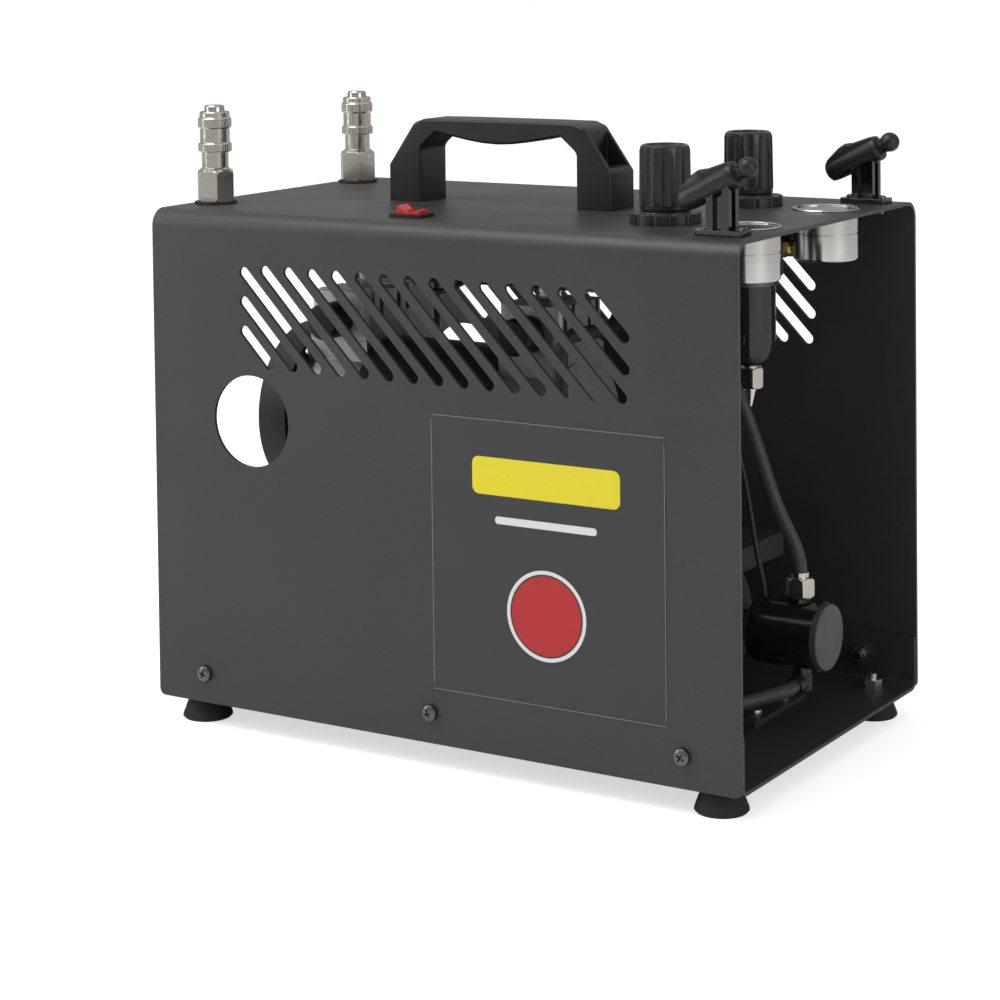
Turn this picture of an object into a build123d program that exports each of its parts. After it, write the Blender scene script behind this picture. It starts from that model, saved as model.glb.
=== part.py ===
from build123d import *
import math
import os

# Twin-cylinder airbrush compressor in a portable sheet-metal housing.
# Frame: origin at the centre of the footprint on the bench, +X to the right
# along the long side, the front panel faces -Y, +Z up. Millimetres.

# ------------------------------------------------------- driving dimensions
LENGTH = 372.0             # housing, X
DEPTH = 225.0              # housing, Y
BODY_HEIGHT = 280.0        # housing without the feet
FOOT_HEIGHT = 14.0
SHEET = 2.0                # cover and tray thickness
COVER_BEND = 10.0          # outer bend radii
TRAY_BEND = 5.0
FLANGE_HEIGHT = 30.0       # tray flange
FIT = 0.05                 # assembly clearance per side

HALF_LENGTH = LENGTH / 2
HALF_DEPTH = DEPTH / 2
TRAY_HALF_DEPTH = HALF_DEPTH - SHEET - FIT
TOP = FOOT_HEIGHT + BODY_HEIGHT    # outer face of the top plate
FLOOR = FOOT_HEIGHT + SHEET        # inner face of the tray

# shank and clearance hole radii of the fasteners
TINY_SHANK, TINY_HOLE = 1.5, 1.6
SMALL_SHANK, SMALL_HOLE = 2.0, 2.2
SCREW_SHANK, SCREW_HOLE = 2.5, 2.7
BOLT_SHANK, BOLT_HOLE = 3.0, 3.2

COVER_SCREW_X = (-152.7, 0.0, 152.7)
COVER_SCREW_Z = FOOT_HEIGHT + 16.7
FOOT_X, FOOT_Y = 165.5, 94.5
FOOT_PLACES = [(sx * FOOT_X, sy * FOOT_Y) for sx in (-1, 1) for sy in (-1, 1)]

# louvre slots slope down to the right and are clipped to one field
SLOT_PITCH = 15.96
SLOT_WIDTH = 6.3
SLOT_START = -122.4        # upper end of slot number 0, X
SLOT_RUN = 50.2            # X run of a full slot over the field's height
FIELD_X0, FIELD_X1 = -121.0, 121.0
FIELD_Z0, FIELD_Z1 = FOOT_HEIGHT + 196.7, FOOT_HEIGHT + 248.5
HOLE_X, HOLE_Z, HOLE_R = -117.5, FOOT_HEIGHT + 163.8, 25.7

LABEL_X0, LABEL_X1 = 2.6, 144.0
LABEL_Z0, LABEL_Z1 = 44.2, 192.8

# top plate parts; those in pairs stand at +-Y
HANDLE_X = -15.5
HANDLE_LENGTH, HANDLE_DEPTH = 147.6, 28.0
HANDLE_SCREW_DX = 63.0
SWITCH_X, SWITCH_Y = -27.0, -84.0
COUPLER_X, COUPLER_Y = -171.5, 72.0
COUPLER_THREAD_R = 6.5
COUPLER_WASHER = 1.4
REG_X, REG_Y = 111.8, 49.6
REG_PLATE_Z = 299.0        # top plate face in the regulator's own frame
BONNET_R = 14.0
GAUGE_X, GAUGE_Y = 159.3, 49.4
HOLDER_X, HOLDER_Y = 165.8, 89.3
HOLDER_SCREW_DX = 9.2
HOLDER_TILT = 26.5
INLET_X, INLET_Z = -120.0, 62.0    # mains inlet on the back panel
SIDES = ((-1, "front"), (1, "rear"))

TANK_Y, TANK_Z, TANK_R = 24.0, 62.0, 38.0
TANK_X0, TANK_X1 = -153.0, 117.0
TANK_WALL = 2.0
TANK_DOME = 19.0
TANK_HALF = (TANK_X1 - TANK_X0) / 2
TANK_X = (TANK_X0 + TANK_X1) / 2
SAFETY_DZ, DRAIN_DZ = 20.0, -24.0  # left dome bosses above the tank axis
CHECK_DX = 81.5                    # rear boss from the tank centre
TANK_SCREWS = [(-141.0, 10.0), (-141.0, 45.0), (133.0, 10.0), (133.0, 45.0)]
FOOT_PLATE = 2.5                   # thickness of the tank bracket foot

SHELF_Z = 105.0                    # top face of the motor shelf
SHELF_X0, SHELF_X1 = -158.0, 120.0
SHELF_Y0, SHELF_Y1 = -60.0, 74.0
SHELF_PLATE = 2.0
LEG_X = (-135.0, 35.0)
LEG_SCREWS = [(x, y) for x in LEG_X for y in (SHELF_Y0 - 9, SHELF_Y1 + 9)]

SHAFT_Z = 166.0                    # pump shaft axis, along X at Y = 0
SHAFT_R = 5.0
CYLINDER_X = (-119.0, 11.0)
CASE_HALF = 21.0                   # half the crankcase length in X
CASE_WALL = 8.0                    # outboard end wall
CASE_FOOT_Z = SHELF_Z + 13.0       # top of the rubber isolators
BEARING_R = 16.0
CRANK_THROW = 4.0                  # half the piston stroke
BORE_R = 17.0
DECK_Z = 212.0                     # top of the crankcases
HEAD_Z0, HEAD_Z1 = DECK_Z + 3.0, 240.0
MOUNT_Y = (-36.0, 36.0)            # isolators in front of and behind the shaft
MOUNTS = [(x, y) for x in CYLINDER_X for y in MOUNT_Y]


# ------------------------------------------------------------------- helpers
TURNS = {
    "z": Rot(0, 0, 0), "x": Rot(0, 90, 0), "y": Rot(-90, 0, 0),
    "-z": Rot(180, 0, 0), "-x": Rot(0, -90, 0), "-y": Rot(90, 0, 0),
}
NODES = {}


def put(node, *shapes):
    """Add the solids of the shapes to one output file."""
    for shape in shapes:
        NODES.setdefault(node, []).extend(shape.solids())


def rod(radius, length, at=(0, 0, 0), axis="z"):
    solid = Cylinder(radius, length, align=(Align.CENTER, Align.CENTER, Align.MIN))
    return Pos(*at) * TURNS[axis] * solid


def ring(outer_r, inner_r, length, at=(0, 0, 0), axis="z"):
    solid = rod(outer_r, length) - rod(inner_r, length + 2, (0, 0, -1))
    return Pos(*at) * TURNS[axis] * solid


def block(x0, x1, y0, y1, z0, z1):
    return Pos(x0, y0, z0) * Box(x1 - x0, y1 - y0, z1 - z0,
                                 align=(Align.MIN, Align.MIN, Align.MIN))


def slab(half_x, half_y, z0, z1):
    return block(-half_x, half_x, -half_y, half_y, z0, z1)


def turned(profile, at=(0, 0, 0), axis="z"):
    """Revolve a closed profile of (radius, height) points."""
    outline = Polyline(*[(r, 0, z) for r, z in profile], close=True)
    return Pos(*at) * TURNS[axis] * revolve(make_face(outline), Axis.Z)


def profiled(profile, half_width):
    """Extrude a closed profile of (x, z) points both ways along Y."""
    outline = Polyline(*[(x, 0, z) for x, z in profile], close=True)
    return extrude(make_face(outline), amount=half_width, dir=(0, 1, 0), both=True)


def hexagon(across_flats, length, at=(0, 0, 0), axis="z", turn=0.0):
    solid = extrude(RegularPolygon(across_flats / 2, 6, major_radius=False), amount=length)
    return Pos(*at) * TURNS[axis] * Rot(0, 0, turn) * solid


def nut(across_flats, height, shank_r, turn=0.0):
    return hexagon(across_flats, height, turn=turn) - rod(shank_r + FIT, height + 2, (0, 0, -1))


def pan_head(head_r, height, shank_r, length, drive=2.3):
    """Screw with its head on z = 0..height, cross recess, shank towards -Z."""
    screw = turned([(0, 0), (head_r, 0), (head_r, height * 0.42),
                    (head_r * 0.93, height * 0.72), (head_r * 0.72, height * 0.94),
                    (head_r * 0.4, height), (0, height)])
    screw += rod(shank_r, length, (0, 0, -length))
    screw -= Pos(0, 0, height - 0.8) * Box(2 * drive, 1.0, 2.0)
    screw -= Pos(0, 0, height - 0.8) * Box(1.0, 2 * drive, 2.0)
    return screw


def soften(shape, edges, radius):
    """Fillet, smaller if need be; the shape stays sharp if all radii fail."""
    for factor in (1.0, 0.6, 0.35):
        # guards against the kernel refusing a fillet of this radius
        try:
            rounded = fillet(edges, radius * factor)
            if rounded.is_valid:
                return rounded
        except Exception:
            pass
    return shape


def bend_edges(shape, level):
    """Edges along X, at the lowest (0) or highest (-1) level."""
    return shape.edges().filter_by(Axis.X).group_by(Axis.Z)[level]


def end_circles(shape, axis, end):
    return shape.edges().filter_by(GeomType.CIRCLE).group_by(axis)[end]


def sweep_round(path, outer_r, inner_r=0.0):
    section = Circle(outer_r)
    if inner_r:
        section = section - Circle(inner_r)
    return sweep(Plane(origin=path @ 0, z_dir=path % 0) * section, path=path)


def hose(points, outer_r, inner_r=0.0, bend=None):
    """Straight runs with bends, or without a bend radius a spline
    that starts and ends pointing up."""
    if bend:
        path = FilletPolyline(*points, radius=bend)
    else:
        path = Spline(*points, tangents=((0, 0, 1), (0, 0, 1)))
    return sweep_round(path, outer_r, inner_r)


# --------------------------------------------------------------------- cover
def louvre_slots():
    slope = (FIELD_Z1 - FIELD_Z0) / SLOT_RUN
    slots = []
    for k in range(-2, 15):
        x0 = SLOT_START + SLOT_PITCH * k
        x1 = x0 + SLOT_RUN
        z0, z1 = FIELD_Z1, FIELD_Z0
        if x0 < FIELD_X0:
            z0 -= (FIELD_X0 - x0) * slope
            x0 = FIELD_X0
        if x1 > FIELD_X1:
            z1 += (x1 - FIELD_X1) * slope
            x1 = FIELD_X1
        span = math.hypot(x1 - x0, z1 - z0)
        angle = math.degrees(math.atan2(z1 - z0, x1 - x0))
        slot = Plane.XZ * Pos((x0 + x1) / 2, (z0 + z1) / 2) * Rot(0, 0, angle) * \
            SlotCenterToCenter(span, SLOT_WIDTH)
        slots.append(extrude(slot, amount=DEPTH, both=True))
    return slots


def through_y(radius, x, z):
    return rod(radius, 2 * DEPTH, (x, -DEPTH, z), "y")


def through_top(radius, x, y):
    return rod(radius, 20, (x, y, TOP - 10))


def make_cover():
    outer = block(-HALF_LENGTH, HALF_LENGTH, -HALF_DEPTH, HALF_DEPTH, FOOT_HEIGHT, TOP)
    outer = fillet(bend_edges(outer, -1), COVER_BEND)
    inner = block(-HALF_LENGTH - 1, HALF_LENGTH + 1, -HALF_DEPTH + SHEET,
                  HALF_DEPTH - SHEET, FOOT_HEIGHT - 1, TOP - SHEET)
    inner = fillet(bend_edges(inner, -1), COVER_BEND - SHEET)
    cover = outer - inner
    cover = fillet(cover.edges().filter_by(Axis.Y).group_by(Axis.Z)[0], 4.0)

    cuts = louvre_slots()
    cuts.append(through_y(HOLE_R, HOLE_X, HOLE_Z))
    for x in COVER_SCREW_X:
        cuts.append(through_y(SCREW_HOLE, x, COVER_SCREW_Z))
    for side, _ in SIDES:
        cuts.append(through_top(6.6, COUPLER_X, side * COUPLER_Y))
        cuts.append(through_top(14.3, REG_X, side * REG_Y))
        cuts.append(through_top(18.2, GAUGE_X, side * GAUGE_Y))
        for dx in (-HOLDER_SCREW_DX, HOLDER_SCREW_DX):
            cuts.append(through_top(TINY_HOLE, HOLDER_X + dx, side * HOLDER_Y))
    for dx in (-HANDLE_SCREW_DX, HANDLE_SCREW_DX):
        cuts.append(through_top(SCREW_HOLE, HANDLE_X + dx, 0))
    cuts.append(Pos(SWITCH_X, SWITCH_Y, TOP) * slab(9.5, 6.5, -10, 1))
    cuts.append(Pos(INLET_X, HALF_DEPTH, INLET_Z) * block(-13.7, 13.7, -6, 2, -10, 10))
    return cover.cut(*[solid for cut in cuts for solid in cut.solids()])


put("cover", make_cover())


# ----------------------------------------------------------------- base tray
def make_tray():
    depth = TRAY_HALF_DEPTH
    outer = block(-HALF_LENGTH + 0.4, HALF_LENGTH - 0.4, -depth, depth,
                  FOOT_HEIGHT, FOOT_HEIGHT + FLANGE_HEIGHT)
    outer = fillet(bend_edges(outer, 0), TRAY_BEND)
    inner = block(-LENGTH, LENGTH, -depth + SHEET, depth - SHEET, FLOOR, FOOT_HEIGHT + 60)
    inner = fillet(bend_edges(inner, 0), TRAY_BEND - SHEET)
    tray = outer - inner
    cuts = [through_y(SCREW_HOLE, x, COVER_SCREW_Z) for x in COVER_SCREW_X]
    cuts += [rod(BOLT_HOLE, 20, (x, y, 5)) for x, y in FOOT_PLACES]
    cuts += [rod(SMALL_HOLE, 20, (x, y, 5)) for x, y in LEG_SCREWS + TANK_SCREWS]
    return tray.cut(*cuts)


put("base_tray", make_tray())

# cover screws, with nuts behind the tray flanges
for x in COVER_SCREW_X:
    for side, _ in SIDES:
        put("cover_screws", Pos(x, side * HALF_DEPTH, COVER_SCREW_Z) *
            Rot(-90 * side, 0, 0) * Rot(0, 0, 20 + x / 4) *
            pan_head(4.6, 3.2, SCREW_SHANK, 10.5))
        put("housing_nuts", Pos(x, side * (TRAY_HALF_DEPTH - SHEET), COVER_SCREW_Z) *
            Rot(90 * side, 0, 0) * nut(8.0, 4.0, SCREW_SHANK))


# ---------------------------------------------------------------------- feet
def rubber_foot():
    return turned([(6.2, 0), (13.3, 0), (14.3, 1.1), (14.1, 2.2), (9.9, 13.4),
                   (9.2, 14), (3.1, 14), (3.1, 5), (6.2, 5)])


def foot_bolt():
    bolt = rod(5.4, 3.4, (0, 0, 1.6)) + rod(BOLT_SHANK, 19.2, (0, 0, 5.0))
    return bolt - hexagon(3.2, 1.8, (0, 0, 1.0))


for x, y in FOOT_PLACES:
    put("rubber_feet", Pos(x, y, 0) * rubber_foot())
    put("floor_screws", Pos(x, y, 0) * foot_bolt())
    put("housing_nuts", Pos(x, y, FLOOR) * nut(10.0, 5.0, BOLT_SHANK, turn=12))


# -------------------------------------------------------------- carry handle
def carry_handle():
    end = HANDLE_LENGTH / 2
    # (x, z): over the outside from left to right, back under the grip
    handle = profiled([
        (-end, 0), (-end, 21), (-56.5, 45.6), (-50, 48.0), (-30, 48.2), (30, 48.2),
        (50, 48.0), (56.5, 45.6), (end, 21), (end, 0), (51.9, 0), (51.9, 31.5),
        (41.5, 40.4), (31, 38.4), (20, 36.4), (10, 35.1), (0, 34.6), (-10, 35.1),
        (-20, 36.4), (-31, 38.4), (-41.5, 40.4), (-51.9, 31.5), (-51.9, 0),
    ], HANDLE_DEPTH / 2)
    handle = soften(handle, handle.edges().filter_by(Axis.Y).filter_by(
        lambda e: 30 < e.center().Z < 32 and abs(e.center().X) > 30), 5)
    handle = soften(handle, handle.edges().filter_by(Axis.Y).filter_by(
        lambda e: 45 < e.center().Z < 46 and abs(e.center().X) > 50), 6)
    rim = handle.edges().filter_by(
        lambda e: abs(abs(e.center().Y) - HANDLE_DEPTH / 2) < 1e-3 and e.center().Z > 0.5)
    handle = soften(handle, rim, 1.6)
    for s in (-1, 1):
        # open pocket in each slanted end: level floor, upright back wall
        handle -= profiled([(s * 58.4, 23.5), (s * 80, 23.5), (s * 80, 60), (s * 58.4, 60)],
                           HANDLE_DEPTH / 2 - 3.4)
        handle -= rod(SCREW_SHANK + FIT, 13.0, (s * HANDLE_SCREW_DX, 0, 0))
    return handle


put("carry_handle", Pos(HANDLE_X, 0, TOP) * carry_handle())
for dx in (-HANDLE_SCREW_DX, HANDLE_SCREW_DX):
    # head under the top plate, shank upwards into the handle
    head = Rot(180, 0, 0) * pan_head(5, 3.2, SCREW_SHANK, 0.01)
    put("top_screws", Pos(HANDLE_X + dx, 0, TOP - SHEET) *
        (head + rod(SCREW_SHANK, 14.0, (0, 0, -0.02))))

# -------------------------------------------------------------- front label
put("front_label",
    Pos((LABEL_X0 + LABEL_X1) / 2, -HALF_DEPTH, (LABEL_Z0 + LABEL_Z1) / 2) *
    Rot(90, 0, 0) *
    extrude(RectangleRounded(LABEL_X1 - LABEL_X0, LABEL_Z1 - LABEL_Z0, 3.0), amount=0.25))

# -------------------------------------------------------------- power switch
ROCKER_PIVOT = 1.0         # above the top plate


def switch_housing():
    housing = slab(10.5, 7.5, 0, 2.0)
    housing = soften(housing, housing.edges().filter_by(Axis.Z), 1.2)
    housing += slab(9.35, 6.35, -18, 0.01)
    housing -= slab(8.25, 4.85, -12, 3)
    housing -= rod(1.25, 11.6, (0, -5.8, ROCKER_PIVOT), "y")
    return housing


def switch_rocker():
    # (x, z) about the pivot, dished on top
    rocker = profiled([
        (-7.4, -2.2), (-7.4, 3.9), (-6.6, 4.6), (-3.0, 2.6), (0, 2.0), (3.0, 2.6),
        (6.6, 4.6), (7.4, 3.9), (7.4, -2.2), (2.0, -6.0), (-2.0, -6.0),
    ], 4.6)
    return rocker + rod(1.2, 11.4, (0, -5.7, 0), "y")


switch_place = Pos(SWITCH_X, SWITCH_Y, TOP)
put("switch_housing", switch_place * switch_housing())
put("switch_rocker", switch_place * Pos(0, 0, ROCKER_PIVOT) * Rot(0, 9, 0) * switch_rocker())
for dx in (-6, 0, 6):
    put("wiring", switch_place * Pos(dx, 0, 0) * slab(0.4, 2.4, -26, -18))

# --------------------------------------------------------------- mains inlet
PIN_PLACES = ((-7, -1.5), (0, 2.5), (7, -1.5))     # (x, z) from the centre


def mains_pin(x, z, y0, y1, grow=0.0):
    half_x, half_z = 1.0 + grow, 2.0 + grow
    return block(x - half_x, x + half_x, y0, y1, z - half_z, z + half_z)


def mains_inlet():
    inlet = block(-15.3, 15.3, 0, 2.5, -11.5, 11.5)
    inlet = soften(inlet, inlet.edges().filter_by(Axis.Y), 2.0)
    inlet += block(-13.6, 13.6, -22, 0.01, -9.9, 9.9)
    inlet -= block(-12.0, 12.0, -16, 3, -8.0, 8.0)
    for x, z in PIN_PLACES:
        inlet -= mains_pin(x, z, -23, -15, FIT)
    return inlet


inlet_place = Pos(INLET_X, HALF_DEPTH, INLET_Z)
put("mains_inlet", inlet_place * mains_inlet())
for x, z in PIN_PLACES:
    put("wiring", inlet_place * mains_pin(x, z, -30, -2.5))


# -------------------------------------------------- filter regulators, a pair
# Own frame: axis on Z, the top plate's outer face at REG_PLATE_Z.
INLET_PORT_Z = 272         # also the side port
GAUGE_PORT_Z = 277


def regulator_body(side):
    outward = "y" if side > 0 else "-y"
    body = rod(19, 24, (0, 0, 260)) + rod(16.4, 6, (0, 0, 254.5))
    body -= rod(15.6, 1.02, (0, 0, 283))      # diaphragm recess
    body -= rod(8, 14, (0, 0, 254))           # flow chamber
    body -= rod(2.5, 30, (0, 0, 260))         # seat passage
    body -= rod(13.2, 6.2, (0, 0, 254.0))     # bowl neck
    body += rod(6.5, 4, (-22.5, 0, INLET_PORT_Z), "x")
    body += rod(6.5, 4, (18.6, 0, GAUGE_PORT_Z), "x")
    body += rod(6.5, 4, (0, side * 18.6, INLET_PORT_Z), outward)
    body -= rod(3.0, 16, (-23, 0, INLET_PORT_Z), "x")
    body -= rod(3.0, 16, (8, 0, GAUGE_PORT_Z), "x")
    body -= rod(3.0, 16, (0, side * 8, INLET_PORT_Z), outward)
    return body


def regulator_bonnet():
    bonnet = rod(19, 8, (0, 0, 284)) + rod(BONNET_R, 13.6, (0, 0, 291.6))
    bonnet -= rod(11, 19, (0, 0, 283))
    bonnet -= rod(4.6, 30, (0, 0, 284))
    return bonnet


def regulator_spring():
    path = Helix(pitch=2.9, height=13.2, radius=8.2)
    return Pos(0, 0, 285.4) * sweep_round(path, 1.0)


def panel_nut():
    """Round nut with twelve scallops."""
    scallops = [Rot(0, 0, 8 + 30 * i) * rod(2.6, 7.8, (20.6, 0, -1)) for i in range(12)]
    body = rod(19.2, 5.8).cut(*scallops)
    body = soften(body, body.edges().group_by(Axis.Z)[-1], 0.6)
    return body - rod(BONNET_R + FIT, 10, (0, 0, -1))


def regulator_knob():
    knob = turned([(0, 0), (13.0, 0), (13.6, 1.0), (13.7, 2.4), (13.7, 3.0), (13.9, 3.4),
                   (13.5, 32.0), (12.9, 34.2), (11.6, 35.2), (10.4, 35.2), (10.0, 34.0),
                   (0, 33.8)])
    flutes = [Rot(0, 0, 36 * i + 10) * rod(5.2, 40, (17.6, 0, 3.4)) for i in range(10)]
    knob = knob.cut(*flutes)
    knob -= rod(6.0, 12, (0, 0, -1))
    knob += rod(4.5, 26.0, (0, 0, -14.0))     # stem
    return knob


def filter_bowl():
    r = 14.8
    bowl = turned([
        (r, 254.5), (r, 222.5), (r * 0.975, 219), (r * 0.90, 214.6), (r * 0.78, 211.2),
        (r * 0.62, 209.2), (4.0, 208.4), (4.0, 210.6), (r * 0.50, 211.2),
        (r * 0.66, 213.0), (r * 0.76, 216.0), (r * 0.83, 220.0), (r * 0.85, 224),
        (r * 0.85, 254.5),
    ])
    return bowl + ring(13.1, 11.4, 5.4, (0, 0, 254.5))


def filter_element():
    return rod(7.8, 26, (0, 0, 228)) - rod(4.8, 24, (0, 0, 231))


def drain_nut():
    body = hexagon(13.6, 11.6, (0, 0, 195.8), turn=10) & turned(
        [(0, 195.8), (7.0, 195.8), (7.7, 196.8), (7.7, 206.6), (7.0, 207.4), (0, 207.4)])
    body += rod(5.2, 1.0, (0, 0, 207.39))
    body += rod(3.9, 3.0, (0, 0, 208.3))
    body -= rod(2.9, 30, (0, 0, 190))
    body -= rod(4.5, 3.6, (0, 0, 195.7))
    return body


def drain_stem():
    return turned([(0, 184.6), (1.2, 185.2), (3.3, 192.4), (4.2, 195.0), (4.2, 195.9),
                   (2.85, 195.95), (2.85, 219.0), (0, 219.0)])


def inlet_elbow():
    elbow = rod(4.6, 6, (-29.5, 0, INLET_PORT_Z), "x")
    elbow += rod(6.2, 2.9, (-25.5, 0, INLET_PORT_Z), "x")
    elbow += rod(5.2, 12, (-28, 0, 264)) + rod(2.2, 7, (-28, 0, 258))
    elbow -= rod(1.4, 22, (-28, 0, 254))
    return elbow


def gauge_nipple():
    return (hexagon(10, 3.6, (22.7, 0, GAUGE_PORT_Z), "x") +
            rod(3.8, 3.2, (26.2, 0, GAUGE_PORT_Z), "x") -
            rod(1.5, 12, (21, 0, GAUGE_PORT_Z), "x"))


for side, tag in SIDES:
    place = Pos(REG_X, side * REG_Y, TOP - REG_PLATE_Z)
    put("regulator_bodies", place * regulator_body(side), place * regulator_bonnet())
    put("regulator_diaphragms", place * rod(15.5, 0.98, (0, 0, 283.01)))
    put("regulator_springs", place * regulator_spring())
    put("panel_nuts", place * Pos(0, 0, REG_PLATE_Z) * panel_nut())
    put("regulator_knob_" + tag, place * Pos(0, 0, REG_PLATE_Z + 6.6) * regulator_knob())
    put("filter_bowls", place * filter_bowl())
    put("filter_elements", place * filter_element())
    put("drain_stem_" + tag, place * drain_stem())
    put("pipe_fittings", place * drain_nut(), place * inlet_elbow())
    put("gauge_sockets", place * gauge_nipple())


# ------------------------------------------------------------------- gauges
# Own frame: z = 0 on the top plate.
def gauge_case():
    case = rod(17.9, 28, (0, 0, -28)) + turned(
        [(17.0, 0), (18.7, 0), (18.9, 0.4), (18.6, 0.9), (17.6, 1.0), (17.0, 0.5)])
    case = soften(case, end_circles(case, Axis.Z, 0), 1.8)
    case -= turned([(17.5, -13.0), (18.5, -13.0), (18.5, -12.3), (17.5, -12.3)])
    case -= rod(16.75, 40, (0, 0, -26.4))
    case -= rod(1.0, 5, (0, 0, -28))
    return case


def gauge_needle():
    needle = rod(0.9, 16.8, (0, 0, -19)) + rod(2.4, 1.2, (0, 0, -3.4))
    blade = Polyline((0, 1.3, 0), (13.4, 0.25, 0), (13.4, -0.25, 0), (0, -1.3, 0),
                     (-5.0, -1.6, 0), (-5.0, 1.6, 0), close=True)
    needle += Pos(0, 0, -3.1) * Rot(0, 0, 225) * extrude(make_face(blade), amount=0.5)
    return needle


def bourdon_tube():
    return ring(13.0, 10.6, 5.0, (0, 0, -19)) - block(-20, 0, -4, 4, -20, -10)


for side, tag in SIDES:
    place = Pos(GAUGE_X, side * GAUGE_Y, TOP)
    put("gauge_cases", place * gauge_case())
    put("gauge_dials", place * ring(16.7, 1.0, 0.7, (0, 0, -4.7)))
    put("gauge_lenses", place * rod(16.7, 1.2, (0, 0, -1.1)))
    put("gauge_needle_" + tag, place * gauge_needle())
    put("gauge_sockets", place * bourdon_tube())

# ------------------------------------------------------------ quick couplers
# Own frame: z = 0 on the top plate.
OUTLET_DZ = -25.0          # elbow port axis


def coupler_body():
    body = hexagon(20.0, 17.8, (0, 0, COUPLER_WASHER), turn=12)
    body = body & turned([(0, 1.4), (10.6, 1.4), (11.55, 2.4), (11.55, 17.6),
                          (10.3, 19.2), (0, 19.2)])
    body += turned([(0, 18.9), (9.0, 18.9), (9.0, 20.0), (7.7, 21.0), (7.7, 32.9),
                    (6.4, 34.0), (6.4, 52.6), (5.8, 53.6), (5.8, 56.2), (5.2, 57.0),
                    (0, 57.0)])
    body += rod(COUPLER_THREAD_R, 18, (0, 0, -16.5))
    body -= rod(3.8, 20.0, (0, 0, 37.0))
    body -= rod(4.9, 16.2, (0, 0, 21.0))
    body -= rod(2.2, 60, (0, 0, -20))
    return body


def coupler_sleeve():
    """Sliding sleeve from z = 0, with two knurled bands."""
    sleeve = turned([
        (7.85, 0), (9.2, 0), (9.7, 0.6), (9.7, 4.4), (9.2, 5.0), (8.6, 5.4), (8.6, 13.4),
        (9.2, 13.8), (9.7, 14.4), (9.7, 19.0), (9.2, 19.6), (8.7, 20.0), (8.7, 22.6),
        (8.2, 23.2), (6.45, 23.2), (6.45, 9.5), (7.85, 9.5),
    ])
    knurls = [Rot(0, 0, 10 * i) * rod(0.42, 4.2, (9.85, 0, z))
              for z in (0.6, 14.4) for i in range(36)]
    return sleeve.cut(*knurls)


def coupler_elbow():
    elbow = slab(8.5, 8.5, -31.5, -16.5)
    elbow += rod(3.5, 13, (8, 0, OUTLET_DZ), "x")
    elbow -= rod(2.2, 12, (0, 0, -26))
    elbow -= rod(2.2, 30, (0, 0, OUTLET_DZ), "x")
    return elbow


for side, tag in SIDES:
    place = Pos(COUPLER_X, side * COUPLER_Y, TOP)
    put("coupler_washers", place * ring(12.2, 6.6, COUPLER_WASHER))
    put("coupler_bodies", place * coupler_body())
    put("coupler_sleeve_" + tag, place * Pos(0, 0, 30.2) * coupler_sleeve())
    put("housing_nuts", place * Pos(0, 0, -SHEET - 5.0) * nut(17, 5.0, COUPLER_THREAD_R))
    put("pipe_fittings", place * coupler_elbow())

# --------------------------------------------------------- airbrush holders
# Own frame: z = 0 on the top plate; the cradle lies along a tilted X axis.
HOLDER_PLATE = 3.0
CRADLE_R = 7.2
CRADLE_TILT = Pos(0, 0, 27.6) * Rot(0, -HOLDER_TILT, 0)


def largest(shape):
    return max(shape.solids(), key=lambda solid: solid.volume)


def holder_post():
    plate = slab(13.3, 7.0, 0, HOLDER_PLATE)
    plate = soften(plate, plate.edges().filter_by(Axis.Z), 1.5)
    for dx in (-HOLDER_SCREW_DX, HOLDER_SCREW_DX):
        plate -= rod(TINY_HOLE, 5, (dx, 0, -1))
    post = slab(6.4, 5.8, 2.9, 40)
    # an upright channel in each of the four sides
    post -= block(-2.6, 2.6, -6, -3.2, 3.0, 41)
    post -= block(-2.6, 2.6, 3.2, 6, 3.0, 41)
    post -= block(3.4, 7, -2.2, 2.2, 3.0, 41)
    post -= block(-7, -3.4, -2.2, 2.2, 3.0, 41)
    # tilted seat for the cradle, open above
    post -= CRADLE_TILT * rod(CRADLE_R + FIT, 80, (-40, 0, 0), "x")
    post -= CRADLE_TILT * Pos(0, 0, 20) * Box(90, 30, 40)
    return plate + largest(post)


def airbrush_cradle():
    """Tapered bar along X, raised saddle on top, ball on a neck at +X."""
    bar = turned([(0, -25.0), (4.6, -25.0), (5.8, -24.0), (6.4, -20.0), (6.9, -8.0),
                  (CRADLE_R, 6.0), (CRADLE_R, 8.4), (6.6, 9.6), (0, 9.6)], axis="x")
    saddle = profiled([(-23.5, 2), (-21.5, 6.4), (-12.0, 9.6), (-7.0, 10.2), (-6.2, 9.0),
                       (8.6, 7.2), (9.4, 2)], 5.2)
    saddle = soften(saddle, saddle.edges().filter_by(lambda e: e.center().Z > 5), 1.2)
    cradle = bar + saddle
    cradle += rod(4.4, 4.0, (9.0, 0, 0), "x")
    cradle += Pos(16.2, 0, 0) * Sphere(5.5)
    return largest(cradle)


for side, _ in SIDES:
    place = Pos(HOLDER_X, side * HOLDER_Y, TOP)
    put("holder_posts", place * holder_post())
    put("airbrush_cradles", place * CRADLE_TILT * airbrush_cradle())
    for dx in (-HOLDER_SCREW_DX, HOLDER_SCREW_DX):
        put("top_screws", place * Pos(dx, 0, HOLDER_PLATE) *
            pan_head(2.7, 1.6, TINY_SHANK, 9.0, drive=1.4))


# ---------------------------------------------------------------------- tank
def capsule(radius, dome, steps=9):
    """Straight shell along X with a quarter-ellipse dome at each end."""
    straight_half = TANK_HALF - TANK_DOME
    angles = [math.radians(90.0 * i / steps) for i in range(steps + 1)]
    right = [(radius * math.cos(a), straight_half + dome * math.sin(a)) for a in angles]
    right[-1] = (0, right[-1][1])     # apex exactly on the axis
    left = [(r, -x) for r, x in reversed(right)]
    return turned(left + right, axis="x")


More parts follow.
